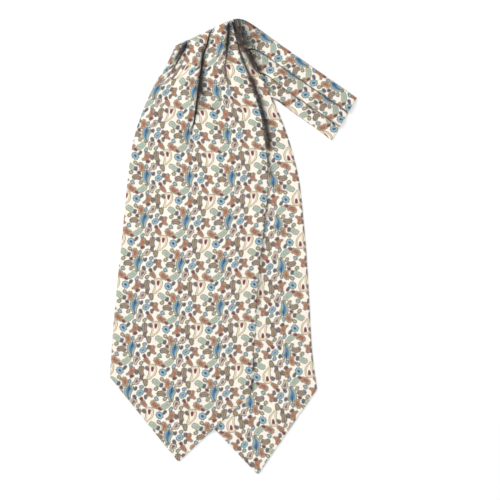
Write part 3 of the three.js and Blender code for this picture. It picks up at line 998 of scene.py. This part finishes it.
@dataclass
class RearBlade(Blade):
    """The blade below, which shows along the right side and at its own point."""

    node: str = "rear_blade"
    sections: tuple[Section, ...] = (
        Section((-16.0, 224.0), (4.6, 236.2)),
        Section((-26.0, 188.0), (12.5, 211.5)),
        Section((-35.0, 165.0), (26.0, 183.5)),
        Section((-44.0, 141.0), (40.6, 155.2)),
        Section((-51.0, 118.0), (49.5, 135.5)),
        Section((-59.0, 88.0), (60.0, 106.0)),
        Section((-65.0, 52.0), (69.4, 68.0)),
        Section((-68.5, 15.0), (73.6, 30.5)),
        Section((-69.5, -20.0), (76.8, -5.0)),
        Section((-67.0, -65.0), (79.9, -55.0)),
        Section((-63.0, -110.0), (83.0, -110.0)),
        Section((-58.5, -152.0), (88.3, -151.4)),
    )
    tip: Point = (26.0, -239.4)
    cells: tuple[int, ...] = (76,)
    print_place: Point = (-5.0, -130.0)
    print_climb: float = 0.14
    free_from: float = 150.0
    free_lift: float = 2.6
    # where dark is set, shade is painted along the line: the shadow that the front blade's right edge casts on
    # this blade down its length, and the shade under the peak
    creases: tuple[Crease, ...] = (
        Crease(((14.0, 187.0), (19.0, 175.0), (25.0, 160.0), (31.0, 141.0), (35.5, 124.0)), 4.0, 0.0, 1.0),
        Crease(((31.0, 143.0), (35.8, 124.0), (37.4, 108.0), (37.5, 92.0)), 4.4, 0.0, 1.0),
        Crease(((29.0, 146.0), (33.5, 130.0), (36.5, 114.0)), 4.0, 0.0, 1.0),
        Crease(((-2.0, 240.0), (2.0, 230.0), (6.0, 219.0), (9.0, 211.0)), 8.0, 0.0, 1.0, False),
        Crease(((36.0, 104.0), (38.5, 84.0), (38.5, 64.0)), 2.6, 0.0, 0.7),
        Crease(((38.6, 72.0), (36.0, 40.0), (33.0, 12.0), (28.5, -37.0), (26.5, -90.0)), 1.8, 0.0, 0.6),
        Crease(((22.4, -116.0), (21.6, -126.0), (20.9, -136.0)), 1.7, 0.0, 0.95),
        Crease(((20.4, -140.0), (19.9, -147.0), (19.5, -155.0)), 1.9, 0.0, 1.0),
        Crease(((4.0, 214.0), (8.4, 200.0), (12.5, 189.0), (19.0, 174.0)), 2.2, 0.0, 1.0, False),
        Crease(((9.0, 213.0), (17.0, 197.0), (23.0, 186.0), (28.0, 177.0)), 4.4, 0.0, 1.0),
        Crease(((58.0, 60.0), (62.0, 0.0), (66.0, -60.0)), 12.0, 0.5, 0.0),
        Crease(((50.0, -100.0), (46.0, -150.0), (34.0, -200.0)), 14.0, -0.5, 0.0),
    )

    def lay(self, layers: "Layers", silk: bpy.types.Material) -> bpy.types.Object:
        """Lay the blade on the surface and on the band's hidden stretch.

        Args:
            layers: what it lies on.
            silk: its finish.

        Returns:
            The piece.
        """
        cloth = Cloth.across(self.rows, self.cells)
        u, xy = cloth.flat[..., 0], cloth.points[..., :2]
        climb = xy[..., 1] - self.print_climb * u
        cloth.flat = np.stack([self.print_place[0] - u, self.print_place[1] - climb], axis=-1)
        cloth.rest_on(layers.height(xy, ("under",), 8.0), outline_of(self.rows), 0.6)
        free = ease((xy[..., 1] - self.free_from) / 20.0)
        cloth.lift(self.free_lift * free * np.exp(-((cloth_to_right(cloth) / 5.0) ** 2)))
        cloth.crease(self.creases)
        cloth.round_edges(2.2, EDGE_ROLL)
        cloth.settle()
        return cloth.make(self.node + "_silk", silk)


@dataclass
class NeckBand:
    """The band's pleated upper stretch with its end fold, and the print that it shares with the hidden under one.
    """

    node: str = "neck_band_upper"
    sections: tuple[Section, ...] = (
        Section((0.0, 236.6), (39.4, 154.0), (0.38, 0.68), (30, 33), (0.5, 0.3), (1.6, 0.8)),
        Section((15.0, 234.5), (47.0, 151.1), (0.375, 0.69), (30, 33), (0.4, 0.2), (0.7, 0.4)),
        Section((53.0, 208.0), (62.0, 140.3), (0.368, 0.715), (30, 33), (0.15, 0.1), (0.35, 0.3)),
        Section((91.0, 181.5), (82.0, 126.0), (0.36, 0.70), (30, 33), (0.1, 0.1), (0.3, 0.3)),
        Section((130.0, 154.4), (104.0, 110.0), (0.345, 0.69), (30, 33), (0.1, 0.1), (0.3, 0.3)),
    )
    cells: tuple[int, ...] = (14, 14, 14)
    # where dark is set, shade is painted along the line: in the hollow under the peak, in the pocket and along the
    # rear blade's edge, along the rim at the peak and under the lower edge where it leaves the rear blade
    creases: tuple[Crease, ...] = (
        Crease(((0.0, 236.0), (6.0, 224.0), (12.0, 212.0)), 12.0, 0.0, 1.0, False),
        Crease(((8.0, 216.0), (14.0, 203.0), (25.0, 181.0)), 6.0, 0.0, 1.0, False),
        Crease(((10.0, 212.0), (19.0, 197.0), (26.0, 184.0), (31.5, 174.0)), 6.2, 0.0, 1.0),
        Crease(((-2.0, 237.0), (14.0, 235.6), (34.0, 221.5)), 1.7, 0.0, 0.9),
        Crease(((30.0, 178.0), (41.0, 158.0)), 2.4, 0.0, 0.6),
        Crease(((40.0, 154.0), (48.0, 150.6), (57.0, 144.4)), 1.7, 0.0, 1.0),
    )
    upper_edge: tuple[Point, Point] = ((14.4, 234.9), (130.0, 154.4))
    print_place: Point = (25.0, 50.0)
    end_reach: float = 1.9
    end_lip: float = 6.0
    rows: list[Section] = field(init=False)

    def __post_init__(self) -> None:
        """Work the rows out."""
        self.rows = rows_through(self.sections)

    def printed(self, cloth: Cloth, turned: bool = False) -> None:
        """Give the band's cloth its print, which runs along it and across its pleats."""
        start, end = np.array(self.upper_edge)
        along = (end - start) / np.linalg.norm(end - start)
        run = (cloth.points[..., :2] - start) @ along
        down = (cloth.points[..., :2] - start) @ np.array([along[1], -along[0]])
        shown = np.linalg.norm(cloth.points[..., :2] - cloth.points[:, :1, :2], axis=-1)
        across = down + cloth.flat[..., 0] - cloth.flat[:, :1, 0] - shown
        sign = -1.0 if turned else 1.0
        cloth.flat = np.stack([sign * (self.print_place[0] - across), self.print_place[1] - run], axis=-1)

    def lay(self, layers: "Layers", silk: bpy.types.Material) -> bpy.types.Object:
        """Lay the upper stretch and turn its end over backwards."""
        outward = away_from(self.rows[-1], self.rows[-2])
        rows = [*self.rows[:-3], moved_row(self.rows[-1], -outward * self.end_reach)]
        cloth = Cloth.across(rows, self.cells)
        self.printed(cloth)
        cloth.lift(np.full(cloth.dark.shape, LIFT + 2 * CLOTH + AIR))
        cloth.crease(self.creases)
        cloth.round_edges(1.6, 0.4)
        cloth.turn_under(outward, self.end_reach, LIFT, self.end_lip, first=False)
        return cloth.make(self.node + "_silk", silk, mirrored=True)


@dataclass
class NeckBandUnder:
    """The band's return below itself, from its end fold to the front blade's turned top edge."""

    band: NeckBand
    front: FrontBlade
    node: str = "neck_band_under"
    cells: tuple[int, ...] = (44,)
    inset: float = 0.02
    start_share: float = 0.36
    seam: float = 0.3
    rows: list[Section] = field(init=False)

    def __post_init__(self) -> None:
        """Work the rows out."""
        top, end = self.front.rows[0], self.band.rows[-1]
        top_turn = self.front.top_reach + self.front.top_lip + self.seam
        end_turn = self.band.end_reach + self.band.end_lip + self.seam
        first = moved_row(top, -away_from(top, self.front.rows[1]) * top_turn)
        last = moved_row(end, -away_from(end, self.band.rows[-2]) * end_turn)
        ends = [
            (share_of(first, 1.0), share_of(first, self.start_share)),
            (share_of(last, self.inset), share_of(last, 1 - self.inset)),
        ]
        count = 90
        self.rows = []
        for i in range(count + 1):
            left, right = (ends[0][k] + (ends[1][k] - ends[0][k]) * i / count for k in (0, 1))
            self.rows.append(Section(tuple(left), tuple(right)))

    def lay(self, layers: "Layers", silk: bpy.types.Material) -> bpy.types.Object:
        """Lay the hidden stretch on the surface."""
        cloth = Cloth.across(self.rows, self.cells)
        self.band.printed(cloth, turned=True)
        cloth.lift(np.full(cloth.dark.shape, LIFT + CLOTH))
        return cloth.make(self.node + "_silk", silk, mirrored=True)


# ---- What lies on what ---------------------------------------------------------------------------------


def share_of(row: Section, share: float) -> np.ndarray:
    """The place at a share of a row's line."""
    left, right = np.array(row.left), np.array(row.right)
    return left + (right - left) * share


def moved_row(row: Section, by: np.ndarray) -> Section:
    """A row moved across the surface."""
    left, right = np.array(row.left) + by, np.array(row.right) + by
    return Section(tuple(left), tuple(right), row.share, row.tuck, row.lip, row.mouth)


def cloth_to_right(cloth: Cloth) -> np.ndarray:
    """How far each point of a sheet is from the last one of its row."""
    return np.linalg.norm(cloth.points[..., :2] - cloth.points[:, -1:, :2], axis=-1)


@dataclass
class Layers:
    """The layers that carry others: each has an outline and the height that it adds."""

    outlines: dict[str, tuple[np.ndarray, float]]

    def height(self, xy: np.ndarray, below: tuple[str, ...], reach: float) -> np.ndarray:
        """The height of a sheet's face over what is below it.

        Args:
            xy: the sheet's places.
            below: the names of the layers that carry it.
            reach: how far beyond a layer's edge it takes to come down.

        Returns:
            The height at each place.
        """
        total = np.full(xy.shape[:-1], LIFT + CLOTH)
        for name in below:
            outline, adds = self.outlines[name]
            total += adds * ease((inside_by(xy, outline) + reach) / reach)
        return total


@dataclass
class Stitching:
    """Hand stitches, laid by a Geometry Nodes network along a line and turned into a mesh."""

    name: str
    line: tuple[tuple[float, float, float], ...]
    pitch: float
    length: float
    radius: float
    lean: float
    seed: int = 7

    def network(self, material: bpy.types.Material) -> tuple[bpy.types.NodeTree, dict[str, str]]:
        """Build the network.

        Args:
            material: the thread's finish.

        Returns:
            The network, and the identifier of each named input.
        """
        tree = bpy.data.node_groups.new(self.name + "_stitches", "GeometryNodeTree")
        keys: dict[str, str] = {}
        tree.interface.new_socket(name="Geometry", in_out="INPUT", socket_type="NodeSocketGeometry")
        for socket, kind in {
            "Pitch": "Float",
            "Stitch Length": "Float",
            "Thread Radius": "Float",
            "Lean": "Float",
            "Seed": "Int",
        }.items():
            made = tree.interface.new_socket(name=socket, in_out="INPUT", socket_type=f"NodeSocket{kind}")
            keys[socket] = made.identifier
        tree.interface.new_socket(name="Geometry", in_out="OUTPUT", socket_type="NodeSocketGeometry")
        net = Net(tree)
        given, out = net.add("NodeGroupInput"), net.add("NodeGroupOutput")
        curve = net.add("GeometryNodeMeshToCurve")
        net.feed(curve.inputs["Mesh"], given.outputs["Geometry"])
        points = net.add("GeometryNodeCurveToPoints", mode="LENGTH")
        net.feed(points.inputs["Curve"], curve.outputs[0])
        net.feed(points.inputs["Length"], given.outputs["Pitch"])
        stitch = net.add("GeometryNodeMeshUVSphere")
        stitch.inputs["Segments"].default_value = 8
        stitch.inputs["Rings"].default_value = 6
        net.feed(stitch.inputs["Radius"], given.outputs["Thread Radius"])
        share = net.math("DIVIDE", given.outputs["Stitch Length"], given.outputs["Thread Radius"])
        stretch = net.add("ShaderNodeCombineXYZ")
        stretch.inputs[0].default_value = 1.0
        stretch.inputs[1].default_value = 1.0
        net.feed(stretch.inputs[2], net.math("MULTIPLY", share, 0.5))
        wander = net.add("FunctionNodeRandomValue", data_type="FLOAT")
        wander.inputs[2].default_value = -0.12
        wander.inputs[3].default_value = 0.12
        net.feed(wander.inputs["Seed"], given.outputs["Seed"])
        turn = net.add("ShaderNodeCombineXYZ")
        net.feed(turn.inputs[2], net.math("ADD", given.outputs["Lean"], wander.outputs[1]))
        aim = net.add("FunctionNodeRotateRotation", rotation_space="GLOBAL")
        net.feed(aim.inputs[0], points.outputs["Rotation"])
        whirl = net.add("FunctionNodeEulerToRotation")
        net.feed(whirl.inputs[0], turn.outputs[0])
        net.feed(aim.inputs[1], whirl.outputs[0])
        placed = net.add("GeometryNodeInstanceOnPoints")
        net.feed(placed.inputs["Points"], points.outputs["Points"])
        net.feed(placed.inputs["Instance"], stitch.outputs["Mesh"])
        net.feed(placed.inputs["Rotation"], aim.outputs[0])
        net.feed(placed.inputs["Scale"], stretch.outputs[0])
        real = net.add("GeometryNodeRealizeInstances")
        net.feed(real.inputs[0], placed.outputs[0])
        painted = net.add("GeometryNodeSetMaterial")
        net.feed(painted.inputs["Geometry"], real.outputs[0])
        painted.inputs["Material"].default_value = material
        net.feed(out.inputs[0], painted.outputs[0])
        return tree, keys

    def sew(self, material: bpy.types.Material) -> bpy.types.Object:
        """Sew the line.

        Args:
            material: the thread's finish.

        Returns:
            The stitches, as one mesh at the origin.
        """
        tree, keys = self.network(material)
        mesh = bpy.data.meshes.new(self.name)
        points = [tuple(v * MM for v in p) for p in self.line]
        mesh.from_pydata(points, [(i, i + 1) for i in range(len(points) - 1)], [])
        guide = bpy.data.objects.new(self.name + "_line", mesh)
        bpy.context.scene.collection.objects.link(guide)
        nodes = guide.modifiers.new("stitches", "NODES")
        nodes.node_group = tree
        for name, value in {
            "Pitch": self.pitch * MM,
            "Stitch Length": self.length * MM,
            "Thread Radius": self.radius * MM,
            "Lean": self.lean,
            "Seed": self.seed,
        }.items():
            nodes[keys[name]] = value
        graph = bpy.context.evaluated_depsgraph_get()
        sewn = bpy.data.meshes.new_from_object(guide.evaluated_get(graph), depsgraph=graph)
        bpy.data.objects.remove(guide)
        piece = bpy.data.objects.new(self.name, sewn)
        bpy.context.scene.collection.objects.link(piece)
        return piece


# ---- The room ------------------------------------------------------------------------------------------


@dataclass(frozen=True)
class Studio:
    """A white surface, soft light from the upper left, and a camera straight above it."""

    middle: Point = (18.0, -5.25)
    field_mm: float = 525.0
    lens: float = 85.0
    sensor: float = 36.0

    def build(self) -> None:
        """Make the surface, the lights and the camera."""
        scene = bpy.context.scene
        scene.view_settings.view_transform = "Standard"
        scene.view_settings.look = "None"
        white = bpy.data.materials.new("white_surface")
        white.use_nodes = True
        shader = white.node_tree.nodes["Principled BSDF"]
        shader.inputs["Base Color"].default_value = (0.95, 0.95, 0.95, 1)
        shader.inputs["Roughness"].default_value = 0.9
        shader.inputs["Specular IOR Level"].default_value = 0.1
        size = 4.0
        mesh = bpy.data.meshes.new("surface")
        corners = [(-size, -size, 0), (size, -size, 0), (size, size, 0), (-size, size, 0)]
        mesh.from_pydata(corners, [], [(0, 1, 2, 3)])
        mesh.materials.append(white)
        surface = bpy.data.objects.new("surface", mesh)
        scene.collection.objects.link(surface)
        lights = [
            self.light("key_window", (-1.1, 0.9, 1.15), 1.0, 17.0),
            self.light("overhead_fill", (0.3, -0.2, 1.9), 1.6, 14.0),
        ]
        world = bpy.data.worlds.new("studio")
        world.use_nodes = True
        world.node_tree.nodes["Background"].inputs["Color"].default_value = (1, 1, 1, 1)
        world.node_tree.nodes["Background"].inputs["Strength"].default_value = 0.55
        scene.world = world
        camera = bpy.data.objects.new("camera", bpy.data.cameras.new("camera"))
        camera.data.lens = self.lens
        camera.data.sensor_width = self.sensor
        camera.data.clip_end = 20.0
        height = self.field_mm * MM * self.lens / self.sensor
        camera.location = (self.middle[0] * MM, self.middle[1] * MM, height)
        scene.collection.objects.link(camera)
        scene.camera = camera

    def light(self, name: str, place: tuple[float, float, float], size: float, power: float) -> bpy.types.Object:
        """A square soft light that faces the cravat."""
        lamp = bpy.data.lights.new(name, "AREA")
        lamp.shape = "SQUARE"
        lamp.size = size
        lamp.energy = power
        made = bpy.data.objects.new(name, lamp)
        made.location = place
        made.rotation_euler = (-Vector(place)).to_track_quat("-Z", "Y").to_euler()
        bpy.context.scene.collection.objects.link(made)
        return made


# ---- The cravat ----------------------------------------------------------------------------------------


@dataclass
class Cravat:
    """All four pieces and their stitching."""

    front: FrontBlade = field(default_factory=lambda: FrontBlade())
    rear: RearBlade = field(default_factory=lambda: RearBlade())
    band: NeckBand = field(default_factory=lambda: NeckBand())

    def dress(self) -> None:
        """Build the pieces over their CAD nodes and say how each is held."""
        block, weave = PrintBlock().build(), weave_group()
        blade_silk = SilkFinish("blade_silk_print", "blade_silk").build(block, weave)
        band_silk = SilkFinish("band_silk_print", "band_silk").build(block, weave)
        under = NeckBandUnder(self.band, self.front)
        thread = ThreadFinish().build()
        step = CLOTH + AIR
        top = self.front.rows[0]
        inner = moved_row(top, -away_from(top, self.front.rows[1]) * (self.front.top_reach + self.front.top_lip))
        lowest = np.array([inner.left, top.left, top.right, *outline_of(under.rows)])
        layers = Layers(
            {
                "under": (lowest, step),
                "rear": (outline_of(self.rear.rows), step + EDGE_ROLL + 0.6),
                "band": (outline_of(self.band.rows), 2 * TURN),
            }
        )
        pieces = {
            under.node: under.lay(layers, band_silk),
            self.rear.node: self.rear.lay(layers, blade_silk),
            self.band.node: self.band.lay(layers, band_silk),
            self.front.node: self.front.lay(layers, blade_silk),
        }
        for node, piece in pieces.items():
            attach(piece, "root")
            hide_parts(node)
        first, last = (share_of(under.rows[i], 0.5) for i in (4, -5))
        line = tuple((x, y, LIFT) for x, y in (first, (first + last) / 2, last))
        seam = Stitching("band_slip_stitches", line, 4.2, 2.4, 0.15, 0.35).sew(thread)
        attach(seam, "root")


def main() -> None:
    """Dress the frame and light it."""
    logging.basicConfig(level=logging.INFO, format="%(name)s: %(message)s")
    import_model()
    Cravat().dress()
    Studio().build()


if __name__ == "__main__":
    main()
